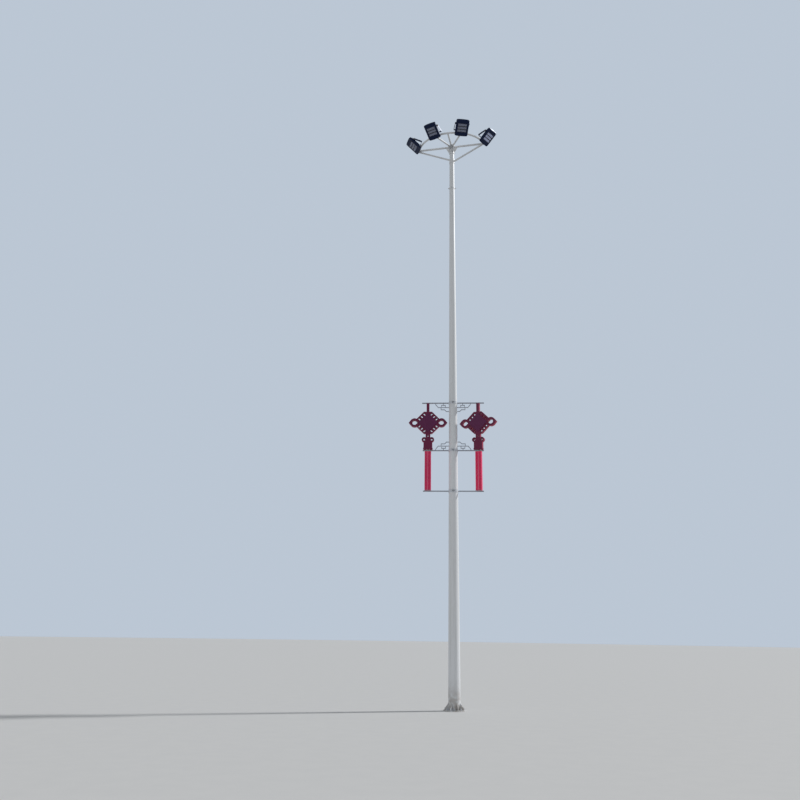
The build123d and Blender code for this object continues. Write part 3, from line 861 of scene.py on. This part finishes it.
# %% Surfaces of the head
HUB = 14.0
SLEEVE_R = 0.06655
ARM_R = 0.025
RING_R = 0.024
INNER_R = 0.023
BRACE_R = 0.022
ARC_HALF = 0.875
ARC_RISE = 0.645
ARC_R = (ARC_HALF ** 2 + ARC_RISE ** 2) / (2 * ARC_RISE)
ARC_Y = ARC_R - ARC_RISE
HEAD = Matrix.Rotation(math.radians(-9), 4, "Z")
BRACE_BAND_DROP = 0.495
BRACE_BAND_R = mast_r(HUB - BRACE_BAND_DROP) + 0.0073


def from_sleeve(p):
    return math.hypot(p.x, p.y) - SLEEVE_R


def from_ring(p):
    return math.hypot(math.hypot(p.x, p.y - ARC_Y) - ARC_R, p.z - HUB) - RING_R


def from_arm(p):
    return math.hypot(p.y, p.z - HUB) - ARM_R


def from_band(p):
    return math.hypot(p.x, p.y) - BRACE_BAND_R


# %% [markdown]
# ## Welds of the head
# There are twelve beads: five where the arms leave the sleeve, three where the inner arms meet the ring,
# two where the ring meets the side arms, and one at the foot of each brace. The braces are not alike, so
# each has its own distances. At the end all beads are turned nine degrees, as the head is.

# %% Head welds
INNER_TURNS = (-30, 0, 30)
BRACE_OUT = {-1: 0.961, 1: 0.846}
BRACE_DROP = {-1: 0.405, 1: 0.462}
HEAD_BEAD = 0.0028
hub = Vector((0, 0, HUB))
paths = [saddle(hub, Vector((side, 0, 0)), ARM_R, from_sleeve, 0.2) for side in (-1, 1)]
for turn in INNER_TURNS:
    way = Vector((math.sin(math.radians(turn)), -math.cos(math.radians(turn)), 0))
    paths.append(saddle(hub, way, INNER_R, from_sleeve, 0.2))
    middle = (Vector((0, ARC_Y, HUB)) - hub).dot(way)
    reach = middle + math.sqrt(ARC_R ** 2 - ARC_Y ** 2 + middle ** 2)
    paths.append(saddle(hub + way * reach, -way, INNER_R, from_ring, 0.1))
for side in (-1, 1):
    end = Vector((side * ARC_HALF, 0, HUB))
    along = Vector((-ARC_Y * side, -ARC_HALF, 0))
    paths.append(saddle(end, along, RING_R, from_arm, 0.1))
    brace_top = Vector((side * BRACE_OUT[side], 0, HUB))
    brace_foot = Vector((0, 0, HUB - BRACE_DROP[side]))
    paths.append(saddle(brace_foot, brace_top - brace_foot, BRACE_R, from_band, 0.3))
welds = joined("head_welds", [bead("bead", path, HEAD_BEAD) for path in paths])
welds.data.transform(HEAD)
settle(welds, "head_welds", head_paint, "mast")

# %% [markdown]
# ## Bolts of the bands
# One bolt draws the two ears of each ornament band together, with a nut on both sides. These bolts rust
# first, and from the ground they are dark dots on the white mast. The ears stand at the front of the
# band's box, so their place is read from there.

# %% Band bolts
EAR_HALF = 0.009
EAR_MIDDLE = 0.015
band_bolt = fastener(0.017, 0.009, 0.002, 0.006)
places = []
for band, z in BAR_Z.items():
    ear_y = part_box(band)[0][1] + EAR_MIDDLE
    for side in (-1, 1):
        places.append(sideways(side * EAR_HALF, ear_y, z, side))
copies(band_bolt, "band_bolts", places, dark_steel, "mast")
drop(band_bolt)

# %% [markdown]
# ## Set screws of the hub
# The hub's sleeve is fixed to the mast with four set screws below the arms, each with a lock nut. Three of
# them stand clear of the gussets. The one at -60 degrees lies in line with the right inner arm's gusset and
# is partly sunk in it, where a fitter would move it aside.

# %% Set screws
SET_SCREW_TURNS = (-60, 30, 60, 150)
SET_SCREW_DROP = 0.16
set_screw = fastener(0.019, 0.010, 0.002, 0.012)
outward = sideways(SLEEVE_R + 0.0002, 0, HUB - SET_SCREW_DROP)
places = [HEAD @ Matrix.Rotation(math.radians(a), 4, "Z") @ outward for a in SET_SCREW_TURNS]
copies(set_screw, "hub_set_screws", places, zinc, "mast")
drop(set_screw)

# %% [markdown]
# ## Screws
# Small covers are held by socket head screws. The top face of a short cylinder is inset twice, and the
# inner face is pushed down, which makes the socket for the key.

# %% Screw master
def screw(radius, height):
    """A socket head screw along Z, with the underside of its head at the origin."""
    head = cylinder(18, radius, 0, height)
    pick(head, top_face)
    inset(radius * 0.12, height * 0.12)
    bpy.ops.mesh.inset(thickness=radius * 0.42)
    extrude(-height * 0.5)
    return placed(rounded(head, radius * 0.05, 1))


# %% [markdown]
# ## Door screws
# The cover of the access opening, at the back of the mast, is held by two screws on its centre line. They
# lean a little with the mast's taper.

# %% Door screws
DOOR_LOW = 0.604
DOOR_HIGH = 1.056
DOOR_SCREW_Z = (0.645, 1.015)
DOOR_SCREW_INSET = 0.0002
lock = screw(0.011, 0.006)
places = [aim(0, mast_r(z) - DOOR_SCREW_INSET, z, (0, 1, 0.005)) for z in DOOR_SCREW_Z]
copies(lock, "door_screws", places, zinc, "mast")
drop(lock)

# %% [markdown]
# ## Door seal
# A rubber cord under the cover's rim keeps the rain out and shows as a thin dark line all round. Its path
# is the cover's outline, two half circles with straight runs between them, laid on the mast: each point
# goes back as far as the round wall is at that distance from the centre line.

# %% Door seal
DOOR_HALF_W = 0.071
SEAL_R = 0.0034
SEAL_POINTS = 24
RUBBER = (0.018, 0.018, 0.019)
RUBBER_WORN = (0.07, 0.068, 0.065)
half_run = (DOOR_HIGH - DOOR_LOW) / 2 - DOOR_HALF_W
seal_path = []
for end in (1, -1):
    for i in range(SEAL_POINTS):
        a = math.pi * i / (SEAL_POINTS - 1)
        x = end * DOOR_HALF_W * math.cos(a)
        z = (DOOR_LOW + DOOR_HIGH) / 2 + end * (half_run + DOOR_HALF_W * math.sin(a))
        seal_path.append(Vector((x, math.sqrt(mast_r(z) ** 2 - x ** 2), z)))
rubber = Finish("seal_rubber", RUBBER, 0.7, Specular_IOR_Level=0.3)
worn = rubber.noise(70, 4).ramp(0.4, 0.7)
rubber_tint = rubber.mix(worn * 0.4, RUBBER, RUBBER_WORN)
rubber_seal = rubber.paint(rubber_tint, worn * 0.15 + 0.65, worn, 0.0002)
settle(bead("seal", seal_path, SEAL_R), "door_seal", rubber_seal, "mast")

# %% [markdown]
# ## Earth terminal
# Below the door and to one side sits an earth terminal: a threaded boss, welded on the mast, to which the
# earth wire of the foundation is bolted.

# %% Earth terminal
EARTH_TURN = math.radians(150)
EARTH_Z = 0.42
terminal = fastener(0.019, 0.010, 0.003, 0.012)
way = Vector((math.sin(EARTH_TURN), -math.cos(EARTH_TURN), 0))
spot = way * (mast_r(EARTH_Z) - 0.0005)
copies(terminal, "earth_terminal", [aim(spot.x, spot.y, EARTH_Z, way)], zinc, "mast")
drop(terminal)

# %% [markdown]
# ## Flat plates with round corners
# Cover frames and lens plates both start as a plane of their outer size, whose corners are bevelled as
# points, and both end in the same way: all is extruded, and the faces are turned outward.

# %% Helpers for flat plates
def card(width, height, corner, steps):
    """A flat sheet with round corners, left in edit mode with everything selected."""
    fresh()
    bpy.ops.mesh.primitive_plane_add(size=1)
    made = bpy.context.object
    made.scale = (width, height, 1)
    bpy.ops.object.transform_apply(scale=True)
    bpy.ops.object.mode_set(mode="EDIT")
    bpy.ops.mesh.select_mode(type="VERT")
    bpy.ops.mesh.select_all(action="SELECT")
    bpy.ops.mesh.bevel(offset=corner, segments=steps, affect="VERTICES")
    return made


def thicken(thick):
    """Extrude the open sheet along Z and turn its faces outward."""
    bpy.ops.mesh.select_all(action="SELECT")
    extrude(thick)
    bpy.ops.mesh.select_all(action="SELECT")
    bpy.ops.mesh.normals_make_consistent(inside=False)


# %% [markdown]
# ## Lamp cover frames
# A thin pressed frame with eight screws closes a floodlight's window. Its sheet is inset by the frame's
# width, and the inner face is deleted. What is left is thickened, and a small bevel catches the light
# along its edges.

# %% Lamp frames and screws
FRONT_Y = -0.070
WINDOW_W = 0.236
WINDOW_H = 0.212
BORDER = 0.017
FRAME_T = 0.0022


def flat_frame(width, height, border, thick, corner):
    """A frame in the XY plane with its opening along Z."""
    made = card(width, height, corner, 4)
    bpy.ops.mesh.select_mode(type="FACE")
    bpy.ops.mesh.select_all(action="SELECT")
    bpy.ops.mesh.inset(thickness=border)
    bpy.ops.mesh.delete(type="FACE")
    thicken(thick)
    return rounded(made, thick * 0.3)


cover = flat_frame(WINDOW_W + 2 * BORDER, WINDOW_H + 2 * BORDER, BORDER + 0.001, FRAME_T, 0.014)
cover.data.transform(aim(0, FRONT_Y, WINDOW_MIDDLE, (0, -1, 0)))
lid_screw = screw(0.0042, 0.0028)
half_w, half_h = (WINDOW_W + BORDER) / 2, (WINDOW_H + BORDER) / 2
spots = [(x, z) for x in (-half_w, 0, half_w) for z in (-half_h, 0, half_h) if x or z]
on_front = [aim(x, FRONT_Y - FRAME_T, WINDOW_MIDDLE + z, (0, -1, 0)) for x, z in spots]
for body, place in lamps.items():
    at_screws = [place["lamp"] @ spot for spot in on_front]
    copies(cover, body + "_cover_frame", [place["lamp"]], housing_black, body)
    copies(lid_screw, body + "_cover_screws", at_screws, dark_steel, body)
drop(cover)

# %% [markdown]
# ## Lens plates
# Each board sits behind a moulded plate with a small dome over every light. From below the three plates
# are what you see of the light itself. A dome is the upper half of a coarse, flattened sphere. It repeats
# over a hundred times in a lamp, so it has few faces and relies on smooth shading.

# %% Lens plate master
LENS_COLUMNS = 12
LENS_ROWS = 3
LENS_W = WINDOW_W - 0.014
LENS_H = 0.050
LENS_T = 0.0012
DOME_R = 0.0068
DOME_SHAPE = (1.12, 1, 0.36)


def dome_master():
    fresh()
    bpy.ops.mesh.primitive_uv_sphere_add(segments=10, ring_count=6, radius=DOME_R)
    made = bpy.context.object
    bpy.ops.object.mode_set(mode="EDIT")
    bpy.ops.mesh.select_all(action="SELECT")
    bpy.ops.mesh.bisect(plane_co=(0, 0, 0), plane_no=(0, 0, 1), clear_inner=True)
    bpy.ops.mesh.select_all(action="SELECT")
    bpy.ops.transform.resize(value=DOME_SHAPE)
    bpy.ops.object.mode_set(mode="OBJECT")
    bpy.ops.object.shade_smooth()
    return made


def lens_plate():
    plate = card(LENS_W, LENS_H, 0.005, 3)
    thicken(LENS_T)
    parts = [rounded(plate, 0.0004, 1)]
    dome = dome_master()
    column = (WINDOW_W - 0.02) / LENS_COLUMNS
    row = LENS_H / LENS_ROWS * 0.97
    for i in range(LENS_COLUMNS):
        for j in range(LENS_ROWS):
            spot = ((i - (LENS_COLUMNS - 1) / 2) * column, (j - (LENS_ROWS - 1) / 2) * row, LENS_T - 0.0001)
            parts.append(copy_at(dome, Matrix.Translation(spot)))
    drop(dome)
    return joined("lens_plate", parts)


# %% [markdown]
# ## Lens plastic
# The lenses are clear plastic that has turned a little milky. Their blue tint and each lamp's own
# brightness are a painted reflection of the sky. A smooth coat gives them their glints, haze varies in
# broad patches, and fine grit lies on them.

# %% Lens plates
# The blue tint is a painted reflection of the sky.
LENS_MILK_AND_SKY = (0.40, 0.45, 0.64)
GRIT = (0.16, 0.16, 0.17)
LENS_Y = -0.0679


def lens_finish(body):
    pale = toned(LENS_MILK_AND_SKY, SHINE[body][1])
    milky = Finish(body + "_lens", pale, 0.2, Coat_Weight=0.3, Coat_Roughness=0.12)
    haze = milky.noise(26, 4).ramp(0.35, 0.7)
    grit = milky.noise(300, 3).ramp(0.55, 0.75)
    tint = milky.layers(pale, (haze * 0.35, toned(pale, 0.72)), (grit * 0.2, GRIT))
    return milky.paint(tint, haze * 0.15 + grit * 0.25 + 0.18, haze, 0.0001)


plate = lens_plate()
rows = [aim(0, LENS_Y, WINDOW_MIDDLE + step * ROW_PITCH, (0, -1, 0)) for step in (-1, 0, 1)]
for body, place in lamps.items():
    at_rows = [place["lamp"] @ row for row in rows]
    copies(plate, body + "_lens_plates", at_rows, lens_finish(body), body)
drop(plate)

# %% [markdown]
# ## Driver box details
# The box on the back of each floodlight holds its power supply. Its lid has a raised field with cooling
# ribs, and a cable gland sits on its lower side. A lid starts as a block, and a rib as a block whose top
# is drawn in.

# %% Driver lid, ribs and gland
def raw_block(width, deep, high):
    fresh()
    bpy.ops.mesh.primitive_cube_add(size=1)
    made = bpy.context.object
    made.scale = (width, deep, high)
    bpy.ops.object.transform_apply(scale=True)
    return made


def block(width, deep, high, soft, field):
    """A block with soft edges and a slightly raised field on its top."""
    made = raw_block(width, deep, high)
    pick(made, top_face)
    inset(min(width, deep) * 0.14, field)
    return rounded(made, soft)


DRIVER_BACK = 0.046
DRIVER_MIDDLE = -0.008
RIB_PITCH = 0.0115
LID_SCREW_X = 0.073
LID_SCREW_Z = 0.048
lid = block(0.166, 0.116, 0.0036, 0.0009, 0.0007)
lid.data.transform(aim(0, DRIVER_BACK - 0.0006, DRIVER_MIDDLE, (0, 1, 0)))
rib = raw_block(0.118, 0.0042, 0.006)
pick(rib, top_face)
bpy.ops.transform.resize(value=(0.96, 0.45, 1))
rounded(rib, 0.0007)
gland = fastener(0.020, 0.008, 0.0025, 0.010)
print("lid, rib and gland masters made")

# %% [markdown]
# ## Fitting the driver boxes
# The lamp's back looks along +Y in its own frame, and the gland points down the window. Each master goes
# to its places on all four lamps.

# %% Fit the driver boxes
BACKWARD = (0, 1, 0)
GLAND_SPOT = (0.045, 0.031, -0.0778)
rib_y = DRIVER_BACK + 0.0028
screw_y = DRIVER_BACK + 0.0012
at_ribs = [aim(0, rib_y, DRIVER_MIDDLE + step * RIB_PITCH, BACKWARD) for step in range(-4, 5)]
at_corners = []
for x in (-LID_SCREW_X, LID_SCREW_X):
    for z in (-LID_SCREW_Z, LID_SCREW_Z):
        at_corners.append(aim(x, screw_y, DRIVER_MIDDLE + z, BACKWARD))
at_gland = aim(*GLAND_SPOT, (0, 0, -1))
fittings = (
    ("_driver_lid", lid, [Matrix()], driver_black),
    ("_driver_ribs", rib, at_ribs, driver_black),
    ("_driver_screws", lid_screw, at_corners, dark_steel),
    ("_gland", gland, [at_gland], driver_black),
)
for body, place in lamps.items():
    for suffix, master, spots, finish in fittings:
        copies(master, body + suffix, [place["lamp"] @ spot for spot in spots], finish, body)
drop(lid, rib, gland, lid_screw)

# %% [markdown]
# ## Yoke hardware
# A floodlight turns on two studs. Outside the yoke's legs each stud carries a nut, which the fitter
# tightens once the lamp is aimed. The yoke itself is bolted to the ring through its cross strap. It does
# not tilt with the lamp, so its bolts ride on the mast.

# %% Yoke nuts and bolts
YOKE_RISE = math.radians(-13)
LEG_OUTSIDE = 0.1831
STRAP_BOLT_X = 0.026
STRAP_FACES = ((0.216, -1), (0.230, 1))
pivot_nut = fastener(0.024, 0.0055, 0.0012, 0.0003)
strap_bolt = fastener(0.015, 0.0075, 0.0018, 0.005)
for body, place in lamps.items():
    at_legs = [place["lamp"] @ aim(side * LEG_OUTSIDE, 0, 0, (side, 0, 0)) for side in (-1, 1)]
    copies(pivot_nut, body + "_pivot_nuts", at_legs, dark_steel, body)
    yoke = place["pivot"] @ Matrix.Rotation(YOKE_RISE, 4, "X")
    at_strap = []
    for x in (-STRAP_BOLT_X, STRAP_BOLT_X):
        at_strap += [yoke @ aim(x, y, 0, (0, way, 0)) for y, way in STRAP_FACES]
    copies(strap_bolt, body + "_strap_bolts", at_strap, zinc, "mast")
drop(pivot_nut, strap_bolt)

# %% [markdown]
# ## How a weave rises and falls
# The middle of this traditional knot is a square woven from one cord that passes over and under itself. A
# strand's cross section is round, and its height follows a cosine as it goes over one neighbour and under
# the next. Where two strands compete, the higher one wins.

# %% Height of the weave
def strand(across, along, shift):
    """Height of the strands of one direction, at coordinates counted in strands."""
    number = math.floor(across)
    middle = number + 0.5
    cross = max(0, 1 - ((across - middle) / 0.5) ** 2) ** 0.5
    wave = math.cos(math.pi * (along - 0.5) + math.pi * (number + shift))
    return cross * (0.62 + 0.38 * wave)


def weave(u, v):
    """Height of the weave, 0 to 1, at strand coordinates u and v."""
    return max(strand(u, v, 0), strand(v, u, 1))


print("weave over a crossing:", round(weave(0.5, 0.5), 2), "and beside it:", round(weave(0.02, 0.5), 2))

# %% [markdown]
# ## Woven pads of the knots
# We move each point of a fine grid up by the weave's height, down to nothing at the rim. The rim is
# extruded back into the panel and closed, so that the pad is a solid. Turned by forty five degrees, it
# goes to the front and back of both knots.

# %% Woven pads
PAD_SIDE = 0.3255
PAD_Y = 0.0526
PAD_BACK = 0.003
STRANDS = 11
WEAVE_HIGH = 0.0052
GRID = 99
RIM_SLOPE = 12


def ornament(side, x=0, y=0, z=0):
    """A place on an ornament: x across, y in depth and z up from the knot's middle."""
    own = Matrix.Translation((side * ORNAMENT_X, 0, KNOT_Z)) @ Matrix.Rotation(ORNAMENT_TURN[side], 4, "Z")
    return own @ Matrix.Translation((x, y, z))


fresh()
bpy.ops.mesh.primitive_grid_add(x_subdivisions=GRID, y_subdivisions=GRID, size=PAD_SIDE)
pad = bpy.context.object
reach = PAD_SIDE / 2
for point in pad.data.vertices:
    u, v = [min((value / reach + 1) / 2 * STRANDS, STRANDS - 0.001) for value in point.co.xy]
    rim = min(1, RIM_SLOPE * (1 - max(abs(point.co.x), abs(point.co.y)) / reach))
    point.co.z = WEAVE_HIGH * weave(u, v) * rim
fresh(pad)
bpy.ops.object.mode_set(mode="EDIT")
bpy.ops.mesh.select_all(action="SELECT")
bpy.ops.mesh.region_to_loop()
extrude(-PAD_BACK)
bpy.ops.mesh.edge_face_add()
bpy.ops.object.mode_set(mode="OBJECT")
bpy.ops.object.shade_smooth_by_angle(angle=math.radians(60))
pad.data.transform(Matrix.Rotation(math.radians(45), 4, "Z"))
for name, side in SIDES.items():
    faces = [ornament(side) @ aim(0, way * PAD_Y, 0, (0, way, 0)) for way in (-1, 1)]
    copies(pad, "knot_" + name + "_weave", faces, knot_red[side], "mast")
drop(pad)

# %% [markdown]
# ## Outlines of the knot's openings
# A thin raised cord runs round each opening of the panel. Its path is a racetrack for the slots, a drop
# for the two big loops and, for the ears, a racetrack with hardly any straight, which is a circle. The
# slots stand in threes along the four edges of the diamond.

# %% Outlines of the openings
SLOT_RING = 0.2058
SLOT_STEP = 0.084
SLOT_STRAIGHT = 0.031
SLOT_R = 0.0222
LOOP_X = 0.322
LOOP_R = 0.0595
LOOP_TIP = 0.085
EAR_X = 0.090
EAR_Z = -0.415
EAR_R = 0.0278


def racetrack(straight, radius, count=9):
    path = []
    for end, start in ((1, -90), (-1, 90)):
        angles = [math.radians(start + 180 * i / (count - 1)) for i in range(count)]
        path += [(end * straight / 2 + radius * math.cos(a), radius * math.sin(a)) for a in angles]
    return path


def drop_shape(radius, tip, count=22):
    """A circle with a point on its +X side."""
    open_angle = math.acos(radius / tip)
    angles = [open_angle + (math.tau - 2 * open_angle) * i / (count - 1) for i in range(count)]
    return [(tip, 0)] + [(radius * math.cos(a), radius * math.sin(a)) for a in angles]


def around_opening(path, x, z, turn=0):
    """A path on the panel's plane: x across and z up, turned about its own middle first."""
    c, s = math.cos(turn), math.sin(turn)
    return [(x + px * c - pz * s, z + px * s + pz * c) for px, pz in path]


outlines = []
for quarter in range(4):
    a = math.radians(45 + 90 * quarter)
    for t in (-SLOT_STEP, 0, SLOT_STEP):
        x, z = SLOT_RING * math.cos(a) - t * math.sin(a), SLOT_RING * math.sin(a) + t * math.cos(a)
        outlines.append(around_opening(racetrack(SLOT_STRAIGHT, SLOT_R), x, z, a))
for side in (-1, 1):
    turn = math.pi if side > 0 else 0
    outlines.append(around_opening(drop_shape(LOOP_R, LOOP_TIP), side * LOOP_X, 0, turn))
    outlines.append(around_opening(racetrack(0.0001, EAR_R, 11), side * EAR_X, EAR_Z))
print(len(outlines), "openings in a knot")

# %% [markdown]
# ## Piping of the knots
# The cord lies half sunk in the panel's face, front and back. It is the same kind of bead as a weld, and
# its ripples read as the twist of a cord.

# %% Piping
PIPE = 0.0034
FACE_Y = 0.045
for name, side in SIDES.items():
    own = ornament(side)
    cords = []
    for path in outlines:
        for y in (-FACE_Y, FACE_Y):
            cords.append(bead("cord", [own @ Vector((x, y, z)) for x, z in path], PIPE))
    settle(joined("piping", cords), "knot_" + name + "_piping", knot_red[side], "mast")

# %% [markdown]
# ## End plates of the tassels
# A pale plate closes a tassel's tube at each end, a little wider than the tube itself, just above the
# lower bar and just under the middle one.

# %% End plates
BAR_HALF = 0.0125
pale_plate = tube_white("pale_plate", (0.66, 0.69, 0.74), 0.34)
end_plate = block(0.163, 0.092, 0.006, 0.0018, 0.0008)
plate_z = (BAR_Z["lower_band"] + BAR_HALF + 0.0031, BAR_Z["middle_band"] - BAR_HALF - 0.0039)
for name, side in SIDES.items():
    ends = [ornament(side, z=z - KNOT_Z) for z in plate_z]
    copies(end_plate, "tassel_" + name + "_end_plates", ends, pale_plate, "mast")
drop(end_plate)

# %% [markdown]
# ## Fixing plates
# Small plates with two screws hold knot and tassel on their bars, front and back. They belong to the
# bars, so they aren't turned with the right ornament.

# %% Fixing plates
CLIP_OUT = BAR_HALF + 0.001
CLIP_SCREW_OUT = BAR_HALF + 0.0025
CLIP_SCREW_X = 0.038
clip = block(0.105, 0.021, 0.0024, 0.0007, 0.0004)
clip_screw = screw(0.0052, 0.0035)
clips, screws = [], []
for z in BAR_Z.values():
    for side in (-1, 1):
        for way in (-1, 1):
            middle = side * ORNAMENT_X
            clips.append(aim(middle, way * CLIP_OUT, z, (0, way, 0)))
            for x in (middle - CLIP_SCREW_X, middle + CLIP_SCREW_X):
                screws.append(aim(x, way * CLIP_SCREW_OUT, z, (0, way, 0)))
copies(clip, "fixing_plates", clips, bracket_paint, "mast")
copies(clip_screw, "fixing_screws", screws, dark_steel, "mast")
drop(clip, clip_screw)

# %% [markdown]
# ## Bar caps
# Pressed-in caps close the open ends of the square bars, because a tube that fills with rain rusts from
# inside. The upper bars reach furthest from the mast and the lower ones least.

# %% Bar caps
BAR_REACH = {"upper_band": 0.735, "middle_band": 0.716, "lower_band": 0.704}
CAP_OUT = 0.0018
cap = block(0.0275, 0.0275, 0.004, 0.0011, 0.0012)
places = []
for band, reach in BAR_REACH.items():
    places += [aim(side * (reach + CAP_OUT), 0, BAR_Z[band], (side, 0, 0)) for side in (-1, 1)]
copies(cap, "bar_caps", places, driver_black, "mast")
drop(cap)
